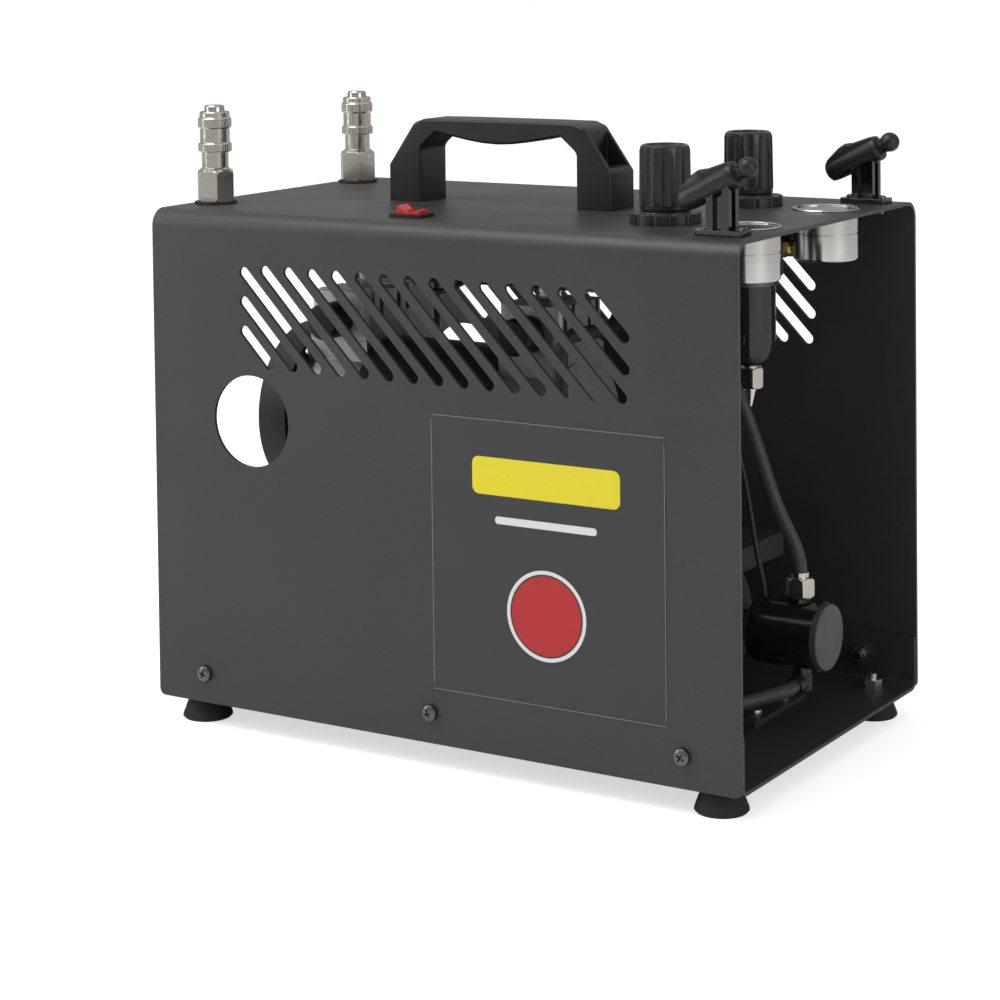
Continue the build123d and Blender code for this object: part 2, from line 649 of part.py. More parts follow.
def air_tank():
    left = -TANK_HALF
    tank = capsule(TANK_R, TANK_DOME)
    # bosses: two on the left dome, one at the rear, one on the right dome
    tank += rod(9, 14, (left + 13, 0, SAFETY_DZ), "-x")
    tank += rod(8, 16, (left + 17, 0, DRAIN_DZ), "-x")
    tank += rod(9, 6, (CHECK_DX, TANK_R - 3, 0), "y")
    tank += rod(9, 4, (TANK_HALF - 2.2, 0, 0), "x")
    tank -= capsule(TANK_R - TANK_WALL, TANK_DOME - TANK_WALL)
    tank -= rod(3.5, 24, (left + 18, 0, SAFETY_DZ), "-x")
    tank -= rod(2.5, 26, (left + 26, 0, DRAIN_DZ), "-x")
    tank -= rod(3.5, 16, (CHECK_DX, TANK_R - 8, 0), "y")
    tank -= rod(3.0, 16, (TANK_HALF - 8, 0, 0), "x")
    return tank


def tank_bracket(web_x, foot_end):
    """Bent plate: saddle web, and a foot from the web to foot_end."""
    web = 3.0
    y0, y1 = TANK_Y - 32, TANK_Y + 32
    bracket = block(web_x, web_x + web, y0, y1, FLOOR, TANK_Z - 12)
    foot_start = web_x + (web if foot_end > web_x else 0)
    x0, x1 = sorted((foot_start, foot_end))
    bracket += block(x0 - 0.01, x1 + 0.01, y0, y1, FLOOR, FLOOR + FOOT_PLATE)
    bracket -= rod(TANK_R + 0.02, 12, (web_x - 4, TANK_Y, TANK_Z), "x")
    for x, y in TANK_SCREWS:
        bracket -= rod(SMALL_HOLE, 12, (x, y, FLOOR - 4))
    return bracket


put("air_tank", Pos(TANK_X, TANK_Y, TANK_Z) * air_tank())
put("tank_brackets", tank_bracket(-125.0, -150.0), tank_bracket(92.0, 142.0))
for x, y in TANK_SCREWS:
    put("floor_screws", Pos(x, y, FLOOR + FOOT_PLATE) *
        pan_head(3.8, 2.6, SMALL_SHANK, 7.5, drive=1.9))


# safety valve and drain cock, pointing left from the faces of their bosses
def safety_valve():
    valve = hexagon(13, 6, axis="-x") + rod(5.5, 9, (-5.5, 0, 0), "-x") + \
        rod(3.4, 5, (4.9, 0, 0), "-x")
    return valve - rod(2.0, 30, (6, 0, 0), "-x")


def safety_valve_ring():
    return rod(1.9, 13.0, (-5.0, 0, 0), "-x") + Pos(-22.5, 0, 0) * Rot(90, 0, 0) * Torus(5.0, 0.8)


def drain_cock():
    cock = hexagon(12, 6, axis="-x") + rod(5, 7, (-5.5, 0, 0), "-x") + \
        rod(2.4, 5, (4.9, 0, 0), "-x")
    return cock - rod(2.05, 40, (20, 0, 0), "-x")


def drain_cock_wing():
    return rod(2.0, 16, (-2, 0, 0), "-x") + block(-22.5, -14.0, -8, 8, -1.3, 1.3)


place = Pos(TANK_X0 - 1, TANK_Y, TANK_Z + SAFETY_DZ)
put("safety_valve", place * safety_valve())
put("safety_valve_ring", place * safety_valve_ring())
place = Pos(TANK_X0 + 1, TANK_Y, TANK_Z + DRAIN_DZ)
put("drain_cock", place * drain_cock())
put("drain_cock_wing", place * drain_cock_wing())

# check valve on the tank's rear boss
CHECK_X, CHECK_Y = TANK_X + CHECK_DX, TANK_Y + TANK_R + 3.0


def check_valve():
    valve = hexagon(14, 6, axis="y") + rod(8, 16, (0, 5.9, 0), "y") + \
        rod(3.45, 5, (0, -4.9, 0), "y")
    return valve - rod(2.0, 24, (0, -6, 0), "y")


put("pipe_fittings", Pos(CHECK_X, CHECK_Y, TANK_Z) * check_valve())

# pressure switch on the right dome, a nut above and an elbow below
NIPPLE_X = TANK_X1 + 1.8           # face of the right boss
NIPPLE_HEX = 8.0
SWITCH_BODY = 41.2                 # length
NUT_X, NUT_Y, NUT_Z = 154.0, TANK_Y, TANK_Z + 20.5
ELBOW_X, ELBOW_Y, ELBOW_Z = 157.0, TANK_Y - 4, TANK_Z - 20.5


def switch_nipple():
    return hexagon(16, NIPPLE_HEX, axis="x") + rod(2.9, 7, (-6.9, 0, 0), "x") - \
        rod(1.5, 30, (-8, 0, 0), "x")


def pressure_switch_body():
    body = rod(18.6, SWITCH_BODY, (NIPPLE_X + NIPPLE_HEX, TANK_Y, TANK_Z), "x")
    body = soften(body, end_circles(body, Axis.X, 0), 4.5)
    body -= rod(3.0, 10, (NIPPLE_X + 7, TANK_Y, TANK_Z), "x")
    body += rod(6, 5, (NUT_X, NUT_Y, NUT_Z - 5))
    body += rod(5, 6, (ELBOW_X, ELBOW_Y, ELBOW_Z + 6), "-z")
    return body


def pressure_switch_cap():
    cap = rod(18.2, 3.6, (NIPPLE_X + NIPPLE_HEX + SWITCH_BODY, TANK_Y, TANK_Z), "x")
    return soften(cap, end_circles(cap, Axis.X, -1), 0.8)


def compression_nut():
    body = hexagon(14.5, 11, turn=10) & turned(
        [(0, 0), (7.2, 0), (8.2, 1.2), (8.2, 9.8), (7.2, 11), (0, 11)])
    body += rod(5.2, 3.0, (0, 0, 10.9))
    body -= rod(4.3, 12, (0, 0, 4))
    return body


def switch_elbow():
    elbow = rod(5.5, 9, (0, 0, -9))
    elbow += rod(4.95, 9, (0, -2, -5), "-y")
    elbow -= rod(4.3, 8, (0, -5, -5), "-y")
    return elbow


put("pipe_fittings", Pos(NIPPLE_X, TANK_Y, TANK_Z) * switch_nipple(),
    Pos(NUT_X, NUT_Y, NUT_Z) * compression_nut(),
    Pos(ELBOW_X, ELBOW_Y, ELBOW_Z) * switch_elbow())
put("pressure_switch_body", pressure_switch_body())
put("pressure_switch_cap", pressure_switch_cap())


# -------------------------------------------------------------- motor shelf
def motor_shelf():
    t = SHELF_PLATE
    shelf = block(SHELF_X0, SHELF_X1, SHELF_Y0, SHELF_Y1, SHELF_Z - t, SHELF_Z)
    shelf += block(SHELF_X1 - t, SHELF_X1, SHELF_Y0, SHELF_Y1, SHELF_Z - 13, SHELF_Z)
    for x in LEG_X:
        for y, side in ((SHELF_Y0, -1), (SHELF_Y1, 1)):
            inside = y - side * t
            y0, y1 = sorted((y, inside))
            shelf += block(x - 15, x + 15, y0, y1, FLOOR, SHELF_Z)
            y0, y1 = sorted((inside, y + side * 18))
            shelf += block(x - 15, x + 15, y0, y1, FLOOR, FLOOR + t)
    for x, y in LEG_SCREWS:
        shelf -= rod(SMALL_HOLE, 10, (x, y, FLOOR - 4))
    for x, y in MOUNTS:
        shelf -= rod(BOLT_HOLE, 10, (x, y, SHELF_Z - 5))
    return shelf


def rubber_isolator():
    return turned([(3.1, 0), (8.5, 0), (8.5, 3), (6.8, 5.5), (6.8, 7.5), (8.5, 10),
                   (8.5, 13.0), (3.1, 13.0)])


def isolator_bolt():
    return (rod(BOLT_SHANK, 26.5, (0, 0, SHELF_Z - 4.0)) +
            hexagon(10, 4.0, (0, 0, CASE_FOOT_Z + 8.0)) +
            hexagon(8, 2.0, (0, 0, SHELF_Z - 4.0)))


put("motor_shelf", motor_shelf())
for x, y in LEG_SCREWS:
    put("floor_screws", Pos(x, y, FLOOR + SHELF_PLATE) *
        pan_head(3.8, 2.6, SMALL_SHANK, 7.0, drive=1.9))
for x, y in MOUNTS:
    put("rubber_isolators", Pos(x, y, SHELF_Z) * rubber_isolator())
    put("floor_screws", Pos(x, y, 0) * isolator_bolt())


# ---------------------------------------------------------------------- pump
# Own frame: x = 0 on the cylinder axis, y and z as in the whole.
def crankcase(outboard):
    case = rod(42, 2 * CASE_HALF, (-CASE_HALF, 0, SHAFT_Z), "x")
    case += slab(CASE_HALF - 1, 25, SHAFT_Z, DECK_Z)
    case += slab(CASE_HALF - 4, 45, CASE_FOOT_Z, CASE_FOOT_Z + 8)
    # crank chamber open to the motor, end wall with a bearing seat outboard
    chamber_x = -CASE_HALF + (CASE_WALL if outboard < 0 else 0)
    case -= rod(36, 2 * CASE_HALF - CASE_WALL, (chamber_x, 0, SHAFT_Z), "x")
    case -= rod(BEARING_R + FIT, 60, (-CASE_HALF - 5, 0, SHAFT_Z), "x")
    case -= rod(BORE_R, 60, (0, 0, SHAFT_Z))
    for y in MOUNT_Y:
        case -= rod(BOLT_HOLE, 20, (0, y, CASE_FOOT_Z - 5))
    return largest(case)


def piston():
    """Wobble piston: big-end ring, rod and disc in one."""
    crank_z = SHAFT_Z + CRANK_THROW
    body = rod(21.4, 10, (-5, 0, crank_z), "x") + slab(4, 6, crank_z + 19, 208) + \
        rod(BORE_R - 0.06, 4.5, (0, 0, 206.5)) + rod(12, 3, (0, 0, 203.5))
    return body - rod(17.4, 30, (-15, 0, crank_z), "x")


def valve_plate():
    plate = slab(20, 25, DECK_Z, HEAD_Z0)
    for x in (-9, 9):
        plate -= rod(2.5, 10, (x, 0, DECK_Z - 4))
    return plate


def pump_head():
    head = slab(20, 25, HEAD_Z0, HEAD_Z1)
    head = soften(head, head.edges().filter_by(Axis.Z), 5.0)
    for y in (-18, -9, 9, 18):        # gaps between the fins
        head -= block(-22, 22, y - 2, y + 2, 226, HEAD_Z1 + 1)
    for x0, x1 in ((-15, -1.5), (1.5, 15)):
        head -= block(x0, x1, -14, 14, HEAD_Z0 - 1, 221)
    return head


def intake_filter():
    body = rod(10.5, 18, (0, -25, 224), "-y")
    return soften(body, end_circles(body, Axis.Y, 0), 2.0)


def head_fitting():
    return hexagon(12, 5, (0, 0, HEAD_Z1)) + rod(6.5, 9, (0, 0, HEAD_Z1 + 4.9))


for x, outboard, tag in ((CYLINDER_X[0], -1, "left"), (CYLINDER_X[1], 1, "right")):
    place = Pos(x, 0, 0)
    put("crankcases", place * crankcase(outboard))
    put("piston_" + tag, place * piston())
    put("cylinder_heads", place * valve_plate(), place * pump_head())
    put("intake_filters", place * intake_filter())
    put("pipe_fittings", place * head_fitting())
    bearing_x = -CASE_HALF if outboard < 0 else CASE_HALF - CASE_WALL
    put("shaft_bearings", place *
        ring(BEARING_R, SHAFT_R + 0.02, CASE_WALL, (bearing_x, 0, SHAFT_Z), "x"))

# --------------------------------------------------------------------- motor
MOTOR_X0 = CYLINDER_X[0] + CASE_HALF       # motor between the crankcases
MOTOR_X1 = CYLINDER_X[1] - CASE_HALF
CORE_LENGTH = 58.0
CORE_X0 = (MOTOR_X0 + MOTOR_X1 - CORE_LENGTH) / 2


def stator_core():
    core = ring(42.45, 28.4, CORE_LENGTH, (CORE_X0, 0, SHAFT_Z), "x")
    for k in range(8):
        core -= Pos((MOTOR_X0 + MOTOR_X1) / 2, 0, SHAFT_Z) * Rot(45 * k, 0, 0) * \
            Pos(0, 0, 33) * Box(90, 5, 7)
    return core


def pump_shaft():
    shaft = rod(SHAFT_R, 190, (CYLINDER_X[0] - 38, 0, SHAFT_Z), "x")
    for x in CYLINDER_X:
        shaft += rod(9.2, 8, (x - 4, 0, SHAFT_Z + CRANK_THROW), "x")
    return shaft


def cooling_fan():
    fan = rod(12, 12, axis="x")
    for k in range(7):
        fan += Pos(6, 0, 0) * Rot(360 / 7 * k, 0, 0) * Pos(0, 0, 27) * \
            Rot(0, 0, 32) * Box(1.6, 13.0, 34)
    return fan - rod(SHAFT_R, 30, (-5, 0, 0), "x")


def fan_shroud():
    """Cup open to the right, with a grille of rings and spokes on the left."""
    shroud = rod(51, 19, axis="x") - rod(48, 17.0, (2, 0, 0), "x")
    shroud -= rod(46, 10, (-2, 0, 0), "x")
    for r in (38, 26, 14):
        shroud += ring(r, r - 3, 2, axis="x")
    for k in range(3):
        shroud += Pos(1, 0, 0) * Rot(60 * k, 0, 0) * Box(2, 3, 93)
    shroud -= rod(6.5, 4, (-1, 0, 0), "x")
    # four lugs inside the open end
    for k in range(4):
        shroud += Pos(18, 0, 0) * Rot(45 + 90 * k, 0, 0) * Pos(0, 0, 44) * Box(2, 12, 9)
    return shroud


put("motor_housing", ring(46, 42.5, MOTOR_X1 - MOTOR_X0, (MOTOR_X0, 0, SHAFT_Z), "x"))
put("motor_stator", stator_core())
for x in (MOTOR_X0 + 4.5, MOTOR_X1 - 14.5):        # windings
    put("motor_stator", ring(40, 30, 10, (x, 0, SHAFT_Z), "x"))
put("motor_rotor", ring(28.0, SHAFT_R, CORE_LENGTH, (CORE_X0, 0, SHAFT_Z), "x"))
put("motor_shaft", pump_shaft())
put("cooling_fan", Pos(CYLINDER_X[0] - 36.5, 0, SHAFT_Z) * cooling_fan())
put("fan_shroud", Pos(CYLINDER_X[0] - 40.0, 0, SHAFT_Z) * fan_shroud())

# -------------------------------------------------------------------- hoses
HOSE_R, HOSE_BORE_R = 3.9, 2.6
HOSE_END_X = REG_X - 28
HOSE_END_Z = TOP - REG_PLATE_Z + 259.0
OUTLET_Z = TOP + OUTLET_DZ
TUBE_R = 3.5
TUBE_Z = HEAD_Z1 + 9.5
FITTING_GAP = 6.6                  # from the cylinder axis to the tube end

# tank to the rear and to the front regulator
put("air_hoses", hose([
    (NUT_X, NUT_Y, NUT_Z + 9), (NUT_X, NUT_Y, NUT_Z + 17), (142.6, TANK_Y, 126.5),
    (129.6, TANK_Y, 160), (116.0, TANK_Y, 193), (100, 26, 222), (84, 38, 244),
    (HOSE_END_X, REG_Y, HOSE_END_Z),
], HOSE_R, HOSE_BORE_R))
put("air_hoses", hose([
    (ELBOW_X, ELBOW_Y - 5.5, ELBOW_Z - 5), (ELBOW_X, -2, ELBOW_Z - 5), (120, -44, 27),
    (72, -93, 27), (72, -93, 236), (HOSE_END_X, -REG_Y, 236),
    (HOSE_END_X, -REG_Y, HOSE_END_Z),
], HOSE_R, HOSE_BORE_R, bend=12.0))

# couplers to the regulators' side ports
for side, _ in SIDES:
    put("air_hoses", hose([
        (COUPLER_X + 9, side * COUPLER_Y, OUTLET_Z), (-128, side * COUPLER_Y, OUTLET_Z),
        (-106, side * 94, OUTLET_Z), (REG_X, side * 94, OUTLET_Z),
        (REG_X, side * (REG_Y + 22.7), OUTLET_Z),
    ], 4.6, 3.55, bend=12.0))

# head to head, and right head to check valve
put("discharge_tubes",
    rod(TUBE_R, CYLINDER_X[1] - CYLINDER_X[0] - 2 * FITTING_GAP,
        (CYLINDER_X[0] + FITTING_GAP, 0, TUBE_Z), "x"),
    hose([(CYLINDER_X[1] + FITTING_GAP, 0, TUBE_Z), (CHECK_X, 0, TUBE_Z),
          (CHECK_X, CHECK_Y + 14, TUBE_Z), (CHECK_X, CHECK_Y + 14, TANK_Z + 8.1)],
         TUBE_R, bend=14.0))

# ------------------------------------------------------------------- wiring
# inlet to power switch over the pump, and pressure switch to power switch
put("wiring", hose([
    (INLET_X, HALF_DEPTH - 22.2, INLET_Z), (INLET_X, 81, INLET_Z), (INLET_X, 81, 258),
    (SWITCH_X, 60, 258), (SWITCH_X, SWITCH_Y, 258), (SWITCH_X, SWITCH_Y, TOP - 26.2),
], 2.4, bend=7.0))
put("wiring", hose([
    (134, 21, TANK_Z + 18.8), (132, 20, 96), (122, 19.5, 150), (96, 8, 215),
    (48, -10, 254), (0, -50, 262), (SWITCH_X + 6, SWITCH_Y, TOP - 26.3),
], 1.5))

# ------------------------------------------------------------------- export
os.makedirs("parts", exist_ok=True)
for node, solids in NODES.items():
    shape = solids[0] if len(solids) == 1 else Compound(children=solids)
    export_step(shape, "parts/" + node + ".step")
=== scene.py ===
import math
import bmesh
import bpy
from mathutils import Matrix, Vector


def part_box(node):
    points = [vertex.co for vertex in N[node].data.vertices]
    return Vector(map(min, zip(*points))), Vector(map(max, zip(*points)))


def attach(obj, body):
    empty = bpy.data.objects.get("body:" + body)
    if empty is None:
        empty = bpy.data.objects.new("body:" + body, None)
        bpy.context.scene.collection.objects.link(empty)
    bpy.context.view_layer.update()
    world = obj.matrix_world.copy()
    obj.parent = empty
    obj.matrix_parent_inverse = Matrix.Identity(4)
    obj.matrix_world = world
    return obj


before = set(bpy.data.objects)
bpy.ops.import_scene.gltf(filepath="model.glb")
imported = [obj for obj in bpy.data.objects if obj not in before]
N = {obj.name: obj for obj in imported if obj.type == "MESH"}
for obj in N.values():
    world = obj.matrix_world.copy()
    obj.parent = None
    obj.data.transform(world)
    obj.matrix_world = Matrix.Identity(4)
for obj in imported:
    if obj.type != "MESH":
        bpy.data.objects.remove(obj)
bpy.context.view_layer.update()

MM = 0.001


# ------------------------------------------------------------- node materials
class M:
    """Small builder for a Principled material with position-based detail."""

    def __init__(self, name):
        self.m = bpy.data.materials.new(name)
        self.m.use_nodes = True
        self.t = self.m.node_tree
        self.t.nodes.clear()
        self.out = self.n("ShaderNodeOutputMaterial")
        self.b = self.n("ShaderNodeBsdfPrincipled")
        self.link(self.b.outputs[0], self.out.inputs[0])
        self.co = self.n("ShaderNodeTexCoord").outputs["Object"]

    def n(self, kind, **k):
        x = self.t.nodes.new(kind)
        for a, v in k.items():
            setattr(x, a, v)
        return x

    def link(self, a, b):
        self.t.links.new(a, b)

    def put(self, name, v):
        s = self.b.inputs[name]
        if hasattr(v, "is_linked"):
            self.link(v, s)
        else:
            s.default_value = v

    def scale(self, sx, sy, sz, rot=(0, 0, 0)):
        mp = self.n("ShaderNodeMapping")
        mp.inputs["Scale"].default_value = (sx, sy, sz)
        mp.inputs["Rotation"].default_value = rot
        self.link(self.co, mp.inputs["Vector"])
        return mp.outputs[0]

    def noise(self, scale, detail=3.0, rough=0.55, vec=None, dist=0.0):
        x = self.n("ShaderNodeTexNoise")
        x.inputs["Scale"].default_value = scale
        x.inputs["Detail"].default_value = detail
        x.inputs["Roughness"].default_value = rough
        x.inputs["Distortion"].default_value = dist
        self.link(vec or self.co, x.inputs["Vector"])
        return x.outputs["Fac"]

    def ramp(self, fac, lo, hi, a=0.3, b=0.7):
        r = self.n("ShaderNodeMapRange")
        r.inputs["From Min"].default_value = a
        r.inputs["From Max"].default_value = b
        r.inputs["To Min"].default_value = lo
        r.inputs["To Max"].default_value = hi
        self.link(fac, r.inputs["Value"])
        return r.outputs["Result"]

    def math(self, op, a, b=None, c=None):
        x = self.n("ShaderNodeMath", operation=op)
        for i, v in enumerate((a, b, c)):
            if v is None:
                continue
            if hasattr(v, "is_linked"):
                self.link(v, x.inputs[i])
            else:
                x.inputs[i].default_value = v
        return x.outputs[0]

    def mix(self, fac, a, b):
        x = self.n("ShaderNodeMix", data_type="RGBA")
        for s, v in ((x.inputs[0], fac), (x.inputs[6], a), (x.inputs[7], b)):
            if hasattr(v, "is_linked"):
                self.link(v, s)
            else:
                s.default_value = v if not isinstance(v, tuple) or len(v) == 4 else (*v, 1)
        return x.outputs[2]

    def bump(self, height, dist, normal=None, strength=1.0):
        x = self.n("ShaderNodeBump")
        x.inputs["Strength"].default_value = strength
        x.inputs["Distance"].default_value = dist
        self.link(height, x.inputs["Height"])
        if normal is not None:
            self.link(normal, x.inputs["Normal"])
        return x.outputs[0]

    def bevel(self, radius, samples=4):
        x = self.n("ShaderNodeBevel", samples=samples)
        x.inputs["Radius"].default_value = radius
        return x.outputs[0]

    def edge(self, radius):
        """1 near a convex or concave edge, 0 on flat ground."""
        bv = self.bevel(radius, 4)
        g = self.n("ShaderNodeNewGeometry").outputs["Normal"]
        d = self.n("ShaderNodeVectorMath", operation="DOT_PRODUCT")
        self.link(bv, d.inputs[0])
        self.link(g, d.inputs[1])
        return self.ramp(d.outputs["Value"], 1.0, 0.0, 0.86, 0.995)


def coat(name, col, rough=0.42, spec=0.5, tex=1500.0, tex_d=0.00003, wear=0.10,
         cloud=0.10, rnd=0.0005):
    """Powder-coated or painted sheet: fine orange peel, faint clouding, worn edges."""
    m = M(name)
    big = m.noise(9.0, 4.0)
    fine = m.noise(tex, 2.0, 0.6)
    c = m.mix(m.ramp(big, 0.0, 1.0), tuple(v * (1 - cloud) for v in col),
              tuple(v * (1 + cloud) for v in col))
    c = m.mix(m.ramp(fine, 0.0, 0.25, 0.45, 0.7), c, tuple(min(1, v * 1.9 + 0.01) for v in col))
    e = m.math("MULTIPLY", m.edge(0.0007), m.ramp(m.noise(170.0, 5.0), 0.0, wear, 0.35, 0.75))
    c = m.mix(e, c, (0.34, 0.33, 0.32))
    m.put("Base Color", c)
    m.put("Roughness", m.ramp(m.noise(34.0, 4.0), rough - 0.035, rough + 0.045))
    m.put("Specular IOR Level", spec)
    h = m.math("ADD", m.noise(tex * 0.55, 2.0, 0.6), m.math("MULTIPLY", fine, 0.5))
    m.put("Normal", m.bump(h, tex_d, m.bevel(rnd)))
    return m.m


def plastic(name, col, rough=0.35, tex=900.0, tex_d=0.00002, spec=0.5, coatw=0.0,
            rnd=0.0005, dust=0.06):
    m = M(name)
    c = m.mix(m.ramp(m.noise(22.0, 4.0), 0.0, 1.0), tuple(v * 0.88 for v in col),
              tuple(v * 1.12 for v in col))
    e = m.math("MULTIPLY", m.edge(0.0005), m.ramp(m.noise(260.0, 4.0), 0.0, dust * 2, 0.4, 0.7))
    c = m.mix(e, c, (0.30, 0.30, 0.30))
    m.put("Base Color", c)
    m.put("Roughness", m.ramp(m.noise(60.0, 5.0), rough - 0.05, rough + 0.06))
    m.put("Specular IOR Level", spec)
    m.put("Coat Weight", coatw)
    m.put("Coat Roughness", 0.12)
    m.put("Normal", m.bump(m.noise(tex, 3.0, 0.6), tex_d, m.bevel(rnd)))
    return m.m


def metal(name, col, rough=0.2, line=(1, 1, 1), line_s=300.0, line_d=0.000006,
          spots=0.06, rnd=0.0003, stain=(0.5, 0.42, 0.33), stain_w=0.12):
    m = M(name)
    brushed = m.noise(line_s, 3.0, 0.6, vec=m.scale(*line))
    big = m.noise(55.0, 4.0)
    c = m.mix(m.ramp(big, 0.0, stain_w, 0.45, 0.75), col, tuple(a * b for a, b in zip(col, stain)))
    m.put("Base Color", c)
    m.put("Metallic", 1.0)
    r = m.math("ADD", m.ramp(brushed, rough - 0.05, rough + 0.06),
               m.ramp(m.noise(420.0, 2.0), 0.0, spots, 0.55, 0.8))
    m.put("Roughness", r)
    m.put("Normal", m.bump(brushed, line_d, m.bevel(rnd)))
    return m.m


def rubber(name, col, rough=0.7, tex=1200.0, tex_d=0.00004):
    m = M(name)
    big = m.noise(48.0, 5.0)
    c = m.mix(m.ramp(big, 0.0, 1.0), tuple(v * 0.8 for v in col), tuple(v * 1.25 for v in col))
    c = m.mix(m.math("MULTIPLY", m.edge(0.0008), 0.22), c, (0.22, 0.22, 0.22))
    m.put("Base Color", c)
    m.put("Roughness", m.ramp(m.noise(90.0, 4.0), rough - 0.08, rough + 0.08))
    m.put("Specular IOR Level", 0.35)
    m.put("Normal", m.bump(m.noise(tex, 3.0, 0.65), tex_d, m.bevel(0.0006)))
    return m.m


def cast(name, col, rough=0.5):
    m = M(name)
    g = m.noise(900.0, 3.0, 0.7)
    c = m.mix(m.ramp(m.noise(40.0, 5.0), 0.0, 1.0), tuple(v * 0.78 for v in col), col)
    m.put("Base Color", c)
    m.put("Metallic", 0.9)
    m.put("Roughness", m.ramp(g, rough - 0.1, rough + 0.12))
    m.put("Normal", m.bump(g, 0.00012, m.bevel(0.0006)))
    return m.m


CHAR = (0.036, 0.0345, 0.0335)
COVER = coat("powder_coat_charcoal", CHAR, rough=0.40, spec=0.5)
TRAY = coat("powder_coat_tray", (0.030, 0.029, 0.028), rough=0.44)
LABEL = coat("label_film", (0.036, 0.0355, 0.036), rough=0.50, tex=2600.0, tex_d=0.000008,
             wear=0.25, cloud=0.04)
HANDLE = plastic("handle_black_nylon", (0.0095, 0.009, 0.0088), rough=0.34, tex=1500.0,
                 tex_d=0.00003, rnd=0.0009)
KNOB = plastic("knob_black_phenolic", (0.014, 0.0135, 0.013), rough=0.30, coatw=0.15,
               rnd=0.0004)
NUTB = plastic("panel_nut_black", (0.016, 0.015, 0.0148), rough=0.36, rnd=0.0005)
CRADLE = plastic("cradle_black_acetal", (0.0085, 0.0082, 0.008), rough=0.38, tex=1800.0,
                 rnd=0.0006)
PSBODY = plastic("switch_body_black", (0.010, 0.0098, 0.0095), rough=0.18, coatw=0.2)
PSCAP = plastic("switch_cap_grey", (0.055, 0.053, 0.051), rough=0.45, tex=1500.0)
BLACKP = plastic("black_plastic", (0.012, 0.012, 0.012), rough=0.45, rnd=0.0003)
WIREP = plastic("wire_pvc_black", (0.015, 0.015, 0.016), rough=0.4, rnd=0.0001)
RUBBER = rubber("foot_rubber", (0.020, 0.020, 0.020))
HOSE = rubber("hose_rubber", (0.050, 0.051, 0.055), rough=0.42, tex=1500.0, tex_d=0.00002)
TANKP = coat("tank_grey_enamel", (0.085, 0.085, 0.083), rough=0.36, tex=700.0, wear=0.2)
SHELFP = coat("shelf_dark_paint", (0.040, 0.038, 0.036), rough=0.42, tex=900.0, wear=0.3)
MOTORP = coat("motor_dark_enamel", (0.035, 0.035, 0.037), rough=0.36, tex=700.0, wear=0.2)
NICKEL = metal("nickel_plate", (0.62, 0.58, 0.52), rough=0.17, line=(1, 1, 6), line_s=160.0)
CHROME = metal("polished_chrome", (0.80, 0.79, 0.77), rough=0.09, line_s=500.0, spots=0.03,
               stain_w=0.05)
STAIN = metal("gauge_stainless", (0.66, 0.65, 0.62), rough=0.17, line=(1, 1, 14),
              line_s=90.0, line_d=0.00001, stain_w=0.05)
POST = metal("post_black_chrome", (0.10, 0.10, 0.102), rough=0.10, line=(3, 3, 1),
             line_s=200.0, stain_w=0.08)
ZINC = metal("zinc_steel", (0.60, 0.61, 0.60), rough=0.28, line_s=500.0)
BLACKZ = metal("black_oxide_screws", (0.17, 0.165, 0.16), rough=0.26, line_s=600.0,
               stain_w=0.3)
STEEL = metal("machined_steel", (0.50, 0.50, 0.49), rough=0.3, line=(8, 1, 1), line_s=200.0)
BRASS = metal("machined_brass", (0.80, 0.60, 0.27), rough=0.22, line=(1, 1, 5), line_s=200.0)
ALU = cast("cast_aluminium", (0.55, 0.55, 0.54), rough=0.45)
ZAMAK = cast("regulator_casting", (0.15, 0.15, 0.155), rough=0.40)
COPPER = metal("tube_aluminium", (0.66, 0.64, 0.60), rough=0.25, line_s=300.0)


def dial_mat():
    m = M("dial_white_enamel")
    m.put("Base Color", m.mix(m.ramp(m.noise(130.0, 3.0), 0.0, 1.0), (0.74, 0.74, 0.71),
                              (0.82, 0.82, 0.79)))
    m.put("Roughness", m.ramp(m.noise(700.0), 0.35, 0.5))
    m.put("Normal", m.bump(m.noise(2400.0), 0.000006, m.bevel(0.0002)))
    return m.m


def glass_mat(name, col, rough=0.03, ior=1.49, tw=1.0):
    m = M(name)
    m.put("Base Color", m.mix(m.ramp(m.noise(70.0, 3.0), 0.0, 1.0),
                              tuple(v * 0.93 for v in col), col))
    m.put("Transmission Weight", tw)
    m.put("IOR", ior)
    m.put("Roughness", m.ramp(m.noise(240.0, 4.0), rough, rough + 0.04))
    m.put("Normal", m.bump(m.noise(160.0, 2.0), 0.000008, m.bevel(0.0003)))
    return m.m


def rocker_mat():
    m = M("rocker_red_translucent_painted_glow")
    z = m.n("ShaderNodeSeparateXYZ")
    m.link(m.co, z.inputs[0])
    c = m.mix(m.ramp(m.noise(300.0, 3.0), 0.0, 1.0), (0.42, 0.010, 0.014), (0.62, 0.02, 0.025))
    m.put("Base Color", c)
    m.put("Transmission Weight", 0.25)
    m.put("Subsurface Weight", 0.25)
    m.put("Subsurface Radius", (0.004, 0.0006, 0.0006))
    m.put("Roughness", m.ramp(m.noise(500.0), 0.14, 0.22))
    # the weak emission is a painted glow on the red rocker
    m.put("Emission Color", c)
    m.put("Emission Strength", 0.22)
    m.put("Coat Weight", 0.5)
    m.put("Normal", m.bump(m.noise(900.0), 0.00001, m.bevel(0.0004)))
    return m.m


def sinter_mat():
    m = M("sintered_filter")
    v = m.n("ShaderNodeTexVoronoi")
    v.inputs["Scale"].default_value = 1800.0
    m.link(m.co, v.inputs["Vector"])
    m.put("Base Color", m.mix(v.outputs["Distance"], (0.70, 0.69, 0.66), (0.86, 0.85, 0.82)))
    m.put("Roughness", 0.8)
    m.put("Normal", m.bump(v.outputs["Distance"], 0.0001, m.bevel(0.0003)))
    return m.m


